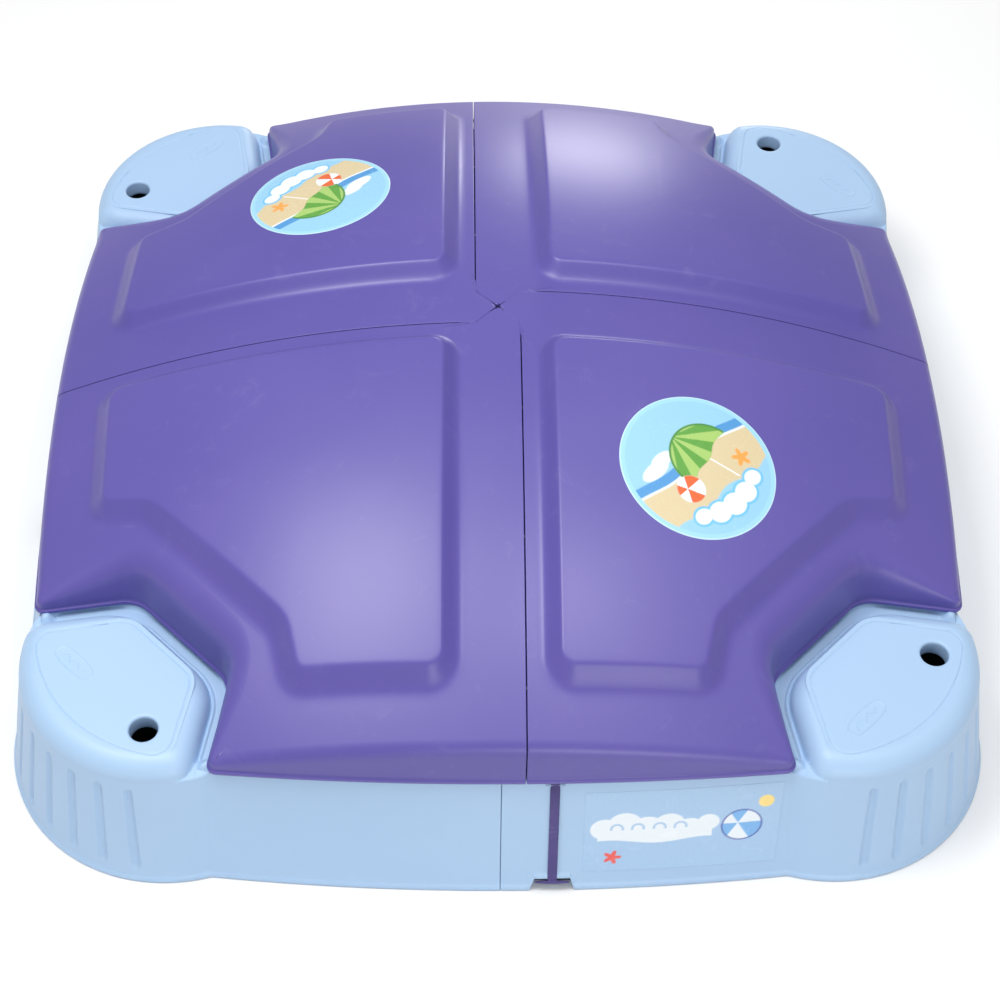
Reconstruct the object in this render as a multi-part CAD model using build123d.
"""Square play sandbox with four corner seats and a domed, strapped-down cover, in millimetres.

The sand box is four equal moulded corner sections that meet at the middle of each side.
The cover is four equal moulded panels that meet in a pinwheel.  Every shape is worked out
once, for the front-left corner, and turned by quarter turns for the other three.
Origin: centre of the footprint, on the ground.  +Z is up and -Y is the front.
"""
from build123d import *
import math
import os

# ---------------------------------------------------------------- driving dimensions
SKIN = 3.2                  # moulded wall thickness
BASE_HALF = 606.5           # centre to the foot of a side wall, at mid-side
BASE_BOW = 21.3             # how far that foot curves in, BOW_REACH away from mid-side
BOW_REACH = 362.6
ARM_REACH = 400.0           # how far a side wall runs into the corner seats
WALL_LEAN = 14.2            # degrees, inward
WALL_TOP = 174.0
SEAT_CENTRE = 394.4
SEAT_RADIUS = 201.0         # at the ground
SEAT_LEAN = 11.0            # degrees, inward
SEAT_TOP = 190.4
SEAT_EDGE = 14.0            # round along the seat's top edge
GUTTER_FLOOR = 162.0
GUTTER_WIDTH = 12.0
GUTTER_INNER = 7.0          # how far the gutter reaches in under the cover's edge
GUTTER_LEAN = 12.0          # degrees
SEAM_GAP = 0.3              # from the middle plane to each section's end
FLOOR = 5.0
PIT_WALL = 88.0             # cover's edge to the pit, at the wall's top
PIT_LEAN = 5.0              # degrees, outward going up

POLE_HOLE = (-404.4, -506.5)
POLE_RADIUS = 16.4
POLE_COLLAR = 23.0
SOCKET_RADIUS = 19.0
SOCKET_FLOOR = 14.0

TAB_PLACES = (-165.0, -400.0)   # floor tabs along the front seam
TAB_HALF = 26.0
TAB_REACH = 28.0
TAB_THICK = 4.0
TAB_CLEAR = 0.3             # between a tab and the floor it laps
TAB_HOLE = 2.2

SCREW_HEAD = (4.5, 2.6)     # radius and height
SCREW_SHANK = 2.0
CROSS_HALF = 3.0            # half the length of the driver slot's arms
CROSS_FLOOR = 1.4

GROOVES = 7
GROOVE_FIRST = 189.0        # degrees round the seat
GROOVE_STEP = 12.0
GROOVE_RADIUS = 9.0
GROOVE_DEPTH = 2.5
GROOVE_LOW, GROOVE_HIGH = 27.0, 147.0

RIM_Z = 170.4               # the cover's lower edge
RIM_HALF = 568.6
TIP = (333.4, 554.5)        # corner of the cover beside a seat
CUT = (314.5, 433.5)        # where the cut-out round a seat turns diagonal
CUT_ROUND = 40.0
SKIRT_LEAN = 7.0            # degrees, inward
DOME_TOP = 358.2
DOME_RADIUS = 1258.2
PANEL_RISE = 19.4           # raised field above the dome
PANEL_SLOPE = 9.0           # half the width of its sloping side
FIELD_ROUNDS = (16, 16, 14, 60, 60, 14, 16)     # of the raised field's corners
PINWHEEL = 27.4             # how far each panel's seam stands off the centre lines
PANEL_GAP = 0.6
FLANGE_DEPTH = 22.0
BOLT_PLACES = (-150.0, -320.0, -490.0)
BOLT_DROP = 13.0            # below the dome
BOLT_RADIUS = 2.5
BOLT_HOLE = 2.8
BOLT_HEAD = (5.0, 3.5)      # hexagon radius and height
FOOT_PLACES = ((-150.0, -537.0), (-250.0, -532.0))
REST_FOOT = (26.0, 12.0)    # stand-off feet that carry the cover on the wall's top

STRAP_OFFSET = 60.5         # strap to mid-side
STRAP_WIDTH = 11.0
STRAP_THICK = 2.2
STRAP_PIVOT = (-560.5, 167.5)
STRAP_END = 11.0
BAR_LENGTH = 41.0
NOTCH_WIDTH = (55.0, 43.0)
NOTCH_HEIGHT = 18.0
NOTCH_DEPTH = 42.0
SLOT_HALF = 13.0            # relief for the strap in the wall's top
SLOT_FLOOR = 157.0
SLOT_BACK = -551.0
STRAP_BEND = 156.0          # where the strap leaves the wall towards its pin
STRAP_GAP = 0.8             # strap to wall
STRAP_EYE = 4.0
BAR_RADIUS = (2.7, 1.5)     # middle and ends
BAR_MIDDLE = 14.0           # length of the bar's even middle
PIN_RADIUS = 1.5

PLATE_RADIUS = 70.0
PLATE_TOP = DOME_TOP - FLANGE_DEPTH - 2.8
PLATE_THICK = 4.0
BOSS_PLACE = (0.0, -46.0)
BOSS_RADIUS = 6.5

STICKER_THICK = 0.4
STICKER_LIFT = 0.3          # off the plastic
ROUND_STICKER = (231.0, -236.0)
ROUND_STICKER_RADIUS = 93.0
WALL_STICKER = (95.0, 321.0, 27.0, 150.0)   # x from and to, z from and to

FAR = 900.0
CORNERS = ["front_left", "front_right", "back_right", "back_left"]
SIDES = ["front", "right", "back", "left"]


# ---------------------------------------------------------------- small helpers
def turned(shape, quarters):
    """The shape turned about the middle by quarter turns: front-left goes to front-right first."""
    return Rot(0, 0, 90 * quarters) * shape


def quarter(points, turns):
    """Plan points turned by quarter turns."""
    for _ in range(turns):
        points = [(-y, x) for x, y in points]
    return points


def face_of(points, rounds=None):
    """A flat face from corner points, with the corners named in rounds filleted."""
    face = make_face(Polyline(*points, close=True))
    for place, radius in (rounds or []):
        face = fillet(face.vertices().sort_by_distance((place[0], place[1], 0))[0], radius)
    return face


def bowed_face(half, bow, reach):
    """A bar as long as the box is wide: straight ends, and front and back edges that bow."""
    end = half - bow * (reach / BOW_REACH) ** 2
    front = ThreePointArc((-reach, -end), (0, -half), (reach, -end))
    back = ThreePointArc((reach, end), (0, half), (-reach, end))
    right_end = Line((reach, -end), (reach, end))
    left_end = Line((-reach, end), (-reach, -end))
    return make_face([front, right_end, back, left_end])


def box_between(low, high):
    """A box from its lowest to its highest corner."""
    size = [b - a for a, b in zip(low, high)]
    return Pos(*low) * Box(*size, align=(Align.MIN, Align.MIN, Align.MIN))


def profile_plate(points, x_low, x_high):
    """A plate whose outline is given as (y, z) points, between two x values."""
    outline = Plane.YZ.offset(x_low) * face_of(points)
    return extrude(outline, amount=x_high - x_low)


def x_rod(y, z, radius, x_low, x_high):
    """A round rod along X."""
    rod = Cylinder(radius, x_high - x_low, align=(Align.CENTER, Align.CENTER, Align.MIN))
    return Pos(x_low, y, z) * Rot(0, 90, 0) * rod


def z_rod(x, y, radius, z_low, z_high):
    """A round rod along Z."""
    rod = Cylinder(radius, z_high - z_low, align=(Align.CENTER, Align.CENTER, Align.MIN))
    return Pos(x, y, z_low) * rod


def write(node, shape):
    """One STEP file for a node; a list becomes a group of separate solids."""
    if isinstance(shape, list):
        shape = Compound(children=shape)
    export_step(shape, f"parts/{node}.step")
    print(node, "volume", round(shape.volume / 1000, 1), "cm3")


# ---------------------------------------------------------------- the sand box
def base_mass(inset, low, top_drop):
    """The four walls and seats as one solid, drawn in by inset, from low to its lowered tops."""
    bar = bowed_face(BASE_HALF - inset, BASE_BOW, ARM_REACH)
    wall = extrude(bar, amount=WALL_TOP - top_drop, taper=WALL_LEAN)
    mass = wall + turned(wall, 1)
    height = SEAT_TOP - top_drop
    top_radius = SEAT_RADIUS - inset - height * math.tan(math.radians(SEAT_LEAN))
    upright = (Align.CENTER, Align.CENTER, Align.MIN)
    for turns in range(4):
        seat = Cone(SEAT_RADIUS - inset, top_radius, height, align=upright)
        mass += turned(Pos(-SEAT_CENTRE, -SEAT_CENTRE, 0) * seat, turns)
    return mass - box_between((-FAR, -FAR, -FAR), (FAR, FAR, low))


def lid_plan(grow=0.0):
    """The cover's outline: four bowed sides, and a cut-out of three edges round each seat."""
    # Growing by 1 moves a cut-out's bend by 0.99 along one axis and 0.43 along the other,
    # which keeps its three edges parallel to the old ones.
    edges = []
    sides = []
    for turns in range(4):
        reach = TIP[0] + grow
        side = [(-reach, -(TIP[1] + grow)), (0, -(RIM_HALF + grow)), (reach, -(TIP[1] + grow))]
        cut = CUT[0] + grow * 0.99
        deep = CUT[1] + grow * 0.43
        sides.append(quarter(side + [(cut, -deep), (deep, -cut)], turns))
    for turns in range(4):
        start, middle, end, cut_a, cut_b = sides[turns]
        after = sides[(turns + 1) % 4][0]
        edges += [ThreePointArc(start, middle, end), Line(end, cut_a), Line(cut_a, cut_b), Line(cut_b, after)]
    plan = make_face(edges)
    for turns in range(4):
        for place in quarter([(CUT[0], -CUT[1]), (CUT[1], -CUT[0])], turns):
            plan = fillet(plan.vertices().sort_by_distance((place[0], place[1], 0))[0], CUT_ROUND)
    return plan


def base_section():
    """The front-left corner: hollow side walls, a hollow seat with a pole socket, a quarter floor."""
    gutter_out = extrude(Pos(0, 0, GUTTER_FLOOR) * lid_plan(GUTTER_WIDTH), amount=60, taper=-GUTTER_LEAN)
    gutter_in = extrude(Pos(0, 0, GUTTER_FLOOR) * lid_plan(-GUTTER_INNER), amount=60)
    above_wall = box_between((-FAR, -FAR, WALL_TOP), (FAR, FAR, FAR)) & gutter_in
    gutter = (gutter_out - gutter_in) + above_wall
    pit_growth = (WALL_TOP - FLOOR) * math.tan(math.radians(PIT_LEAN))
    pit = extrude(Pos(0, 0, FLOOR) * lid_plan(-PIT_WALL - pit_growth), amount=220, taper=-PIT_LEAN)
    pole = z_rod(*POLE_HOLE, POLE_RADIUS, SEAT_TOP - POLE_COLLAR, FAR)
    pole += z_rod(*POLE_HOLE, SOCKET_RADIUS, SOCKET_FLOOR, SEAT_TOP - POLE_COLLAR)
    sleeve = z_rod(*POLE_HOLE, SOCKET_RADIUS + SKIN, 0, FAR)
    corner = box_between((-FAR, -FAR, 0), (-SEAM_GAP, -SEAM_GAP, FAR))
    inner_corner = box_between((-FAR, -FAR, 0), (-SEAM_GAP - SKIN, -SEAM_GAP - SKIN, FAR))
    notch, notch_room = strap_notch(0), strap_notch(SKIN)
    slot, slot_room = strap_slot(0), strap_slot(SKIN)

    solid = (base_mass(0, 0, 0) & corner) - gutter - pit
    room_floor = Pos(0, 0, GUTTER_FLOOR - SKIN)
    wide_gutter_out = extrude(room_floor * lid_plan(GUTTER_WIDTH + SKIN), amount=60, taper=-GUTTER_LEAN)
    wide_gutter_in = extrude(room_floor * lid_plan(-GUTTER_INNER - SKIN), amount=60)
    wide_pit = extrude(Pos(0, 0, -1) * lid_plan(-PIT_WALL - pit_growth + SKIN), amount=230, taper=-PIT_LEAN)
    hollow = (base_mass(SKIN, SKIN, SKIN) & inner_corner) - (wide_gutter_out - wide_gutter_in) - wide_pit
    hollow -= box_between((-FAR, -FAR, WALL_TOP - SKIN), (FAR, FAR, FAR)) & wide_gutter_in
    hollow = hollow - sleeve - notch_room - slot_room
    section = solid - hollow - pole - notch - slot
    for index in range(GROOVES):
        section -= seat_groove(math.radians(GROOVE_FIRST + GROOVE_STEP * index))
    seat_top = section.faces().filter_by(Axis.Z).sort_by(Axis.Z)[-1]
    section = fillet(seat_top.outer_wire().edges(), SEAT_EDGE)
    section += floor_tabs()
    for x, y in tab_screws():
        hole = z_rod(x, y, TAB_HOLE, -1, 12)
        section -= hole
        section -= turned(hole, 3)
    section += strap_hook()
    return section


def seat_groove(angle):
    """A shallow upright groove with round ends in the seat's outer wall, leaning with it."""
    lean = math.tan(math.radians(SEAT_LEAN))
    ends = []
    for z in (GROOVE_LOW, GROOVE_HIGH):
        radius = SEAT_RADIUS - lean * z + GROOVE_RADIUS - GROOVE_DEPTH
        ends.append(Vector(-SEAT_CENTRE + radius * math.cos(angle), -SEAT_CENTRE + radius * math.sin(angle), z))
    axis = ends[1] - ends[0]
    rod = Solid.make_cylinder(GROOVE_RADIUS, axis.length, Plane(origin=ends[0], z_dir=axis))
    for end in ends:
        rod += Pos(*end) * Sphere(GROOVE_RADIUS)
    return rod


# The strap of the front-left section is on its left side, so that each corner carries one.
def strap_side(shape):
    """Moves a shape made for the front strap to the front-left section's own strap."""
    return turned(shape, 3)


def strap_notch(grow):
    """The trapezoid notch in the wall's foot below a strap."""
    low, high = NOTCH_WIDTH[0] / 2 + grow, NOTCH_WIDTH[1] / 2 + grow
    top = NOTCH_HEIGHT + grow
    points = [(-low, -1), (low, -1), (high, top), (-high, top)]
    outline = Plane.XZ.offset(BASE_HALF - NOTCH_DEPTH - grow) * face_of(points)
    notch = extrude(outline, amount=NOTCH_DEPTH + 30)
    return strap_side(Pos(STRAP_OFFSET, 0, 0) * notch)


def strap_slot(grow):
    """The relief in the wall's top edge that the strap and its two lugs drop into."""
    half = SLOT_HALF + grow
    low = (STRAP_OFFSET - half, -FAR, SLOT_FLOOR - grow)
    high = (STRAP_OFFSET + half, SLOT_BACK + grow, FAR)
    return strap_side(box_between(low, high))


def strap_hook():
    """The small tongue in the notch that the strap's cross bar is pushed up behind."""
    back = -(BASE_HALF - NOTCH_DEPTH) + 1
    points = [(back, 3.0), (-599.0, 3.0), (-601.0, 5.0), (-599.0, 7.5), (back, 9.5)]
    return strap_side(profile_plate(points, STRAP_OFFSET - 5, STRAP_OFFSET + 5))


def floor_tabs():
    """Lap tabs on the floor that reach over the next section's floor at the front seam."""
    tabs = None
    top = FLOOR + TAB_CLEAR + TAB_THICK
    for y in TAB_PLACES:
        root = box_between((-TAB_REACH, y - TAB_HALF, FLOOR - 1), (-SEAM_GAP, y + TAB_HALF, top))
        lap = box_between((-1, y - TAB_HALF, FLOOR + TAB_CLEAR), (TAB_REACH, y + TAB_HALF, top))
        tabs = root + lap if tabs is None else tabs + root + lap
    return tabs


def tab_screws():
    """Plan places of the two floor screws at the front seam."""
    return [(TAB_REACH / 2, y) for y in TAB_PLACES]


def pan_screw(x, y, z_seat, length, up=1):
    """A pan-head screw along Z: its head sits on z_seat and its shank points away from the head."""
    radius, height = SCREW_HEAD
    long_arm, short_arm = CROSS_HALF, 0.5
    if up > 0:
        head = z_rod(x, y, radius, 0, height)
        shank = z_rod(x, y, SCREW_SHANK, -length, 0.5)
        low, high = CROSS_FLOOR, 5
    else:
        head = z_rod(x, y, radius, -height, 0)
        shank = z_rod(x, y, SCREW_SHANK, -0.5, length)
        low, high = -5, -CROSS_FLOOR
    cross = box_between((x - long_arm, y - short_arm, low), (x + long_arm, y + short_arm, high))
    cross += box_between((x - short_arm, y - long_arm, low), (x + short_arm, y + long_arm, high))
    return Pos(0, 0, z_seat) * ((head + shank) - cross)


# ---------------------------------------------------------------- the cover
def ball(radius):
    """The sphere whose cap is the cover's dome."""
    return Pos(0, 0, DOME_TOP - DOME_RADIUS) * Sphere(radius)


def dome_z(x, y):
    """Height of the cover's dome over a plan point."""
    return DOME_TOP - DOME_RADIUS + math.sqrt(DOME_RADIUS ** 2 - x * x - y * y)


def panel_region(inset):
    """Plan of one pinwheel quarter, drawn in from its seams."""
    k = PINWHEEL
    points = [(-FAR, -k - inset), (-k - 0.4 * inset, -k - inset), (0, -1.42 * inset)]
    points += [(k - inset, -k - 0.4 * inset), (k - inset, -FAR), (-FAR, -FAR)]
    return face_of(points)


def raised_plan(grow):
    """Plan of the raised field on the front-left panel, grown from its flat top."""
    near, far_side, shoulder = 66.9 - grow, 479.0 + grow, 473.0 + grow
    deep = 228.0 + 0.8 * grow
    bend = 413.0 + 0.4 * grow
    waist = 243.0 + grow
    points = [(-near, -near), (-far_side, -near), (-shoulder, -deep), (-bend, -waist)]
    points += [(-waist, -bend), (-deep, -shoulder), (-near, -far_side)]
    return face_of(points, list(zip(points, FIELD_ROUNDS)))


def lid_mass(shrink, low):
    """The cover as one solid drawn in by shrink: domed top, leaning skirt, raised fields."""
    plan = Pos(0, 0, RIM_Z) * lid_plan(-shrink)
    body = extrude(plan, amount=300, taper=SKIRT_LEAN) & ball(DOME_RADIUS - shrink)
    fields = extrude(Pos(0, 0, RIM_Z) * raised_plan(PANEL_SLOPE - shrink), amount=300)
    body += fields & ball(DOME_RADIUS + PANEL_RISE - shrink)
    region = extrude(panel_region(0), amount=FAR)
    if low:
        body += extrude(Pos(0, 0, RIM_Z - 5) * lid_plan(-shrink), amount=6)
    return body & region


def lid_panel():
    """The front-left cover panel: a thin shell with seam flanges, rest feet and strap lugs."""
    region = extrude(panel_region(PANEL_GAP), amount=FAR)
    region_in = extrude(panel_region(PANEL_GAP + SKIN), amount=FAR)
    outer = lid_mass(0, False)
    inner = lid_mass(SKIN, True)
    shell = (outer - inner) & region
    under = extrude(Pos(0, 0, RIM_Z) * lid_plan(-1.5), amount=300, taper=SKIRT_LEAN)
    flange = (region - region_in) & (ball(DOME_RADIUS - 1) - ball(DOME_RADIUS - FLANGE_DEPTH)) & under
    panel = shell + flange + rest_feet() + strap_lugs() + centre_boss()
    for y in BOLT_PLACES:
        z = dome_z(PINWHEEL, y) - BOLT_DROP
        hole = x_rod(y, z, BOLT_HOLE, PINWHEEL - 8, PINWHEEL + 8)
        panel -= hole
        panel -= turned(hole, 3)
    pin_hole = x_rod(*STRAP_PIVOT, PIN_RADIUS + 0.1, STRAP_OFFSET - 12, STRAP_OFFSET + 12)
    panel -= strap_side(pin_hole)
    return panel


def rest_feet():
    """Stand-off feet under the dome that stop on the wall's top."""
    feet = None
    across, deep = REST_FOOT[0] / 2, REST_FOOT[1] / 2
    for x, y in FOOT_PLACES:
        foot = box_between((x - across, y - deep, WALL_TOP + 0.3), (x + across, y + deep, 300))
        pair = foot + turned(Pos(2 * -x, 0, 0) * foot, 3)
        feet = pair if feet is None else feet + pair
    return feet & ball(DOME_RADIUS - SKIN / 2)


def strap_lugs():
    """Two ears inside the skirt that carry the strap's pin."""
    points = [(-556.5, 164), (-563.8, 164), (-565.5, 171), (-561, 212), (-552, 212), (-553, 172)]
    lugs = None
    for x in (STRAP_OFFSET - STRAP_WIDTH / 2 - 3.9, STRAP_OFFSET + STRAP_WIDTH / 2 + 0.9):
        lug = profile_plate(points, x, x + 3)
        lugs = lug if lugs is None else lugs + lug
    return strap_side(lugs)


def centre_boss():
    """The boss under the panel's inner end that the centre plate screws to."""
    post = z_rod(*BOSS_PLACE, BOSS_RADIUS, PLATE_TOP + 0.3, DOME_TOP) & ball(DOME_RADIUS - SKIN / 2)
    return post - z_rod(*BOSS_PLACE, TAB_HOLE, PLATE_TOP, PLATE_TOP + 12)


def centre_plate():
    """The round plate under the middle that ties the four panels together."""
    plate = z_rod(0, 0, PLATE_RADIUS, PLATE_TOP - PLATE_THICK, PLATE_TOP)
    plate = chamfer(plate.edges().group_by(Axis.Z)[0], 1.0)
    for turns in range(4):
        plate -= turned(z_rod(*BOSS_PLACE, TAB_HOLE, 0, FAR), turns)
    return plate


def seam_bolt(y):
    """A hexagon bolt with its nut across a cover seam."""
    z = dome_z(PINWHEEL, y) - BOLT_DROP
    left = PINWHEEL - PANEL_GAP - SKIN - 0.1
    right = PINWHEEL + PANEL_GAP + SKIN + 0.1
    hexagon = extrude(RegularPolygon(BOLT_HEAD[0], 6), amount=BOLT_HEAD[1])
    head = Pos(left - BOLT_HEAD[1], y, z) * Rot(0, 90, 0) * hexagon
    nut = Pos(right, y, z) * Rot(0, 90, 0) * hexagon
    return head + x_rod(y, z, BOLT_RADIUS, left - 1, right + 5) + nut


# ---------------------------------------------------------------- straps and stickers
def wall_y(z, out=0.0):
    """The front wall's face at a height, at the strap's place."""
    foot = BASE_HALF - BASE_BOW * (STRAP_OFFSET / BOW_REACH) ** 2
    return -(foot - z * math.tan(math.radians(WALL_LEAN)) + out)


def strap():
    """A rubber strap: an eye on the cover's pin, a flat run down the wall, a cross bar at its foot."""
    y, z = STRAP_PIVOT
    low, bend = STRAP_END, STRAP_BEND
    gap = STRAP_GAP
    outer = gap + STRAP_THICK
    points = [(wall_y(low, gap), low), (wall_y(bend, gap), bend), (y + 1.0, z - 3.6), (y + 2.5, z + 2.6)]
    points += [(y - 3.8, z - 1.0), (wall_y(bend, outer), bend), (wall_y(low, outer), low)]
    half = STRAP_WIDTH / 2
    run = profile_plate(points, STRAP_OFFSET - half, STRAP_OFFSET + half)
    eye = x_rod(y, z, STRAP_EYE, STRAP_OFFSET - half, STRAP_OFFSET + half)
    bar_y = wall_y(STRAP_END + 3, gap + STRAP_THICK / 2)
    thick, thin = BAR_RADIUS
    middle = Pos(STRAP_OFFSET, bar_y, STRAP_END + thick)
    bar = middle * Rot(0, 90, 0) * Cylinder(thick, BAR_MIDDLE)
    reach = (BAR_LENGTH - BAR_MIDDLE) / 2
    for side in (-1, 1):
        arm = Cone(thick, thin, reach, align=(Align.CENTER, Align.CENTER, Align.MIN))
        bar += middle * Pos(BAR_MIDDLE / 2 * side, 0, 0) * Rot(0, 90 * side, 0) * arm
    return run + eye + bar - x_rod(y, z, PIN_RADIUS + 0.08, STRAP_OFFSET - 9, STRAP_OFFSET + 9)


def strap_pin():
    """The pin through the strap's eye."""
    reach = STRAP_WIDTH / 2 + 4.4
    return x_rod(*STRAP_PIVOT, PIN_RADIUS, STRAP_OFFSET - reach, STRAP_OFFSET + reach)


def round_sticker():
    """A round sticker lying on the raised field of the front-right panel."""
    top = DOME_RADIUS + PANEL_RISE + STICKER_LIFT
    column = z_rod(*ROUND_STICKER, ROUND_STICKER_RADIUS, 200, 500)
    return column & (ball(top + STICKER_THICK) - ball(top))


def wall_sticker():
    """The oblong sticker on the front wall, right of the strap."""
    under, over = BASE_HALF + STICKER_LIFT, BASE_HALF + STICKER_LIFT + STICKER_THICK
    near = extrude(bowed_face(under, BASE_BOW, ARM_REACH), amount=WALL_TOP, taper=WALL_LEAN)
    away = extrude(bowed_face(over, BASE_BOW, ARM_REACH), amount=WALL_TOP, taper=WALL_LEAN)
    left, right, low, high = WALL_STICKER
    return (away - near) & box_between((left, -FAR, low), (right, -400, high))


# ---------------------------------------------------------------- writing the parts
def main():
    os.makedirs("parts", exist_ok=True)
    section = base_section()
    panel = lid_panel()
    tab_top = FLOOR + TAB_CLEAR + TAB_THICK + 0.1
    screws = [pan_screw(x, y, tab_top, 8.0) for x, y in tab_screws()]
    bolts = [seam_bolt(y) for y in BOLT_PLACES]
    one_strap = strap()
    for turns, corner in enumerate(CORNERS):
        write(f"base_section_{corner}", turned(section, turns))
        write(f"cover_panel_{corner}", turned(panel, turns))
    for turns, side in enumerate(SIDES):
        write(f"floor_screws_{side}", [turned(screw, turns) for screw in screws])
        write(f"cover_bolts_{side}", [turned(bolt, turns) for bolt in bolts])
        write(f"strap_{side}", turned(one_strap, turns))
    write("strap_pins", [turned(strap_pin(), turns) for turns in range(4)])
    write("cover_centre_plate", centre_plate())
    plate_screw = pan_screw(*BOSS_PLACE, PLATE_TOP - PLATE_THICK - 0.1, 14.0, up=-1)
    write("centre_plate_screws", [turned(plate_screw, turns) for turns in range(4)])
    write("round_sticker_front_right", round_sticker())
    write("round_sticker_back_left", turned(round_sticker(), 2))
    write("wall_sticker", wall_sticker())


main()
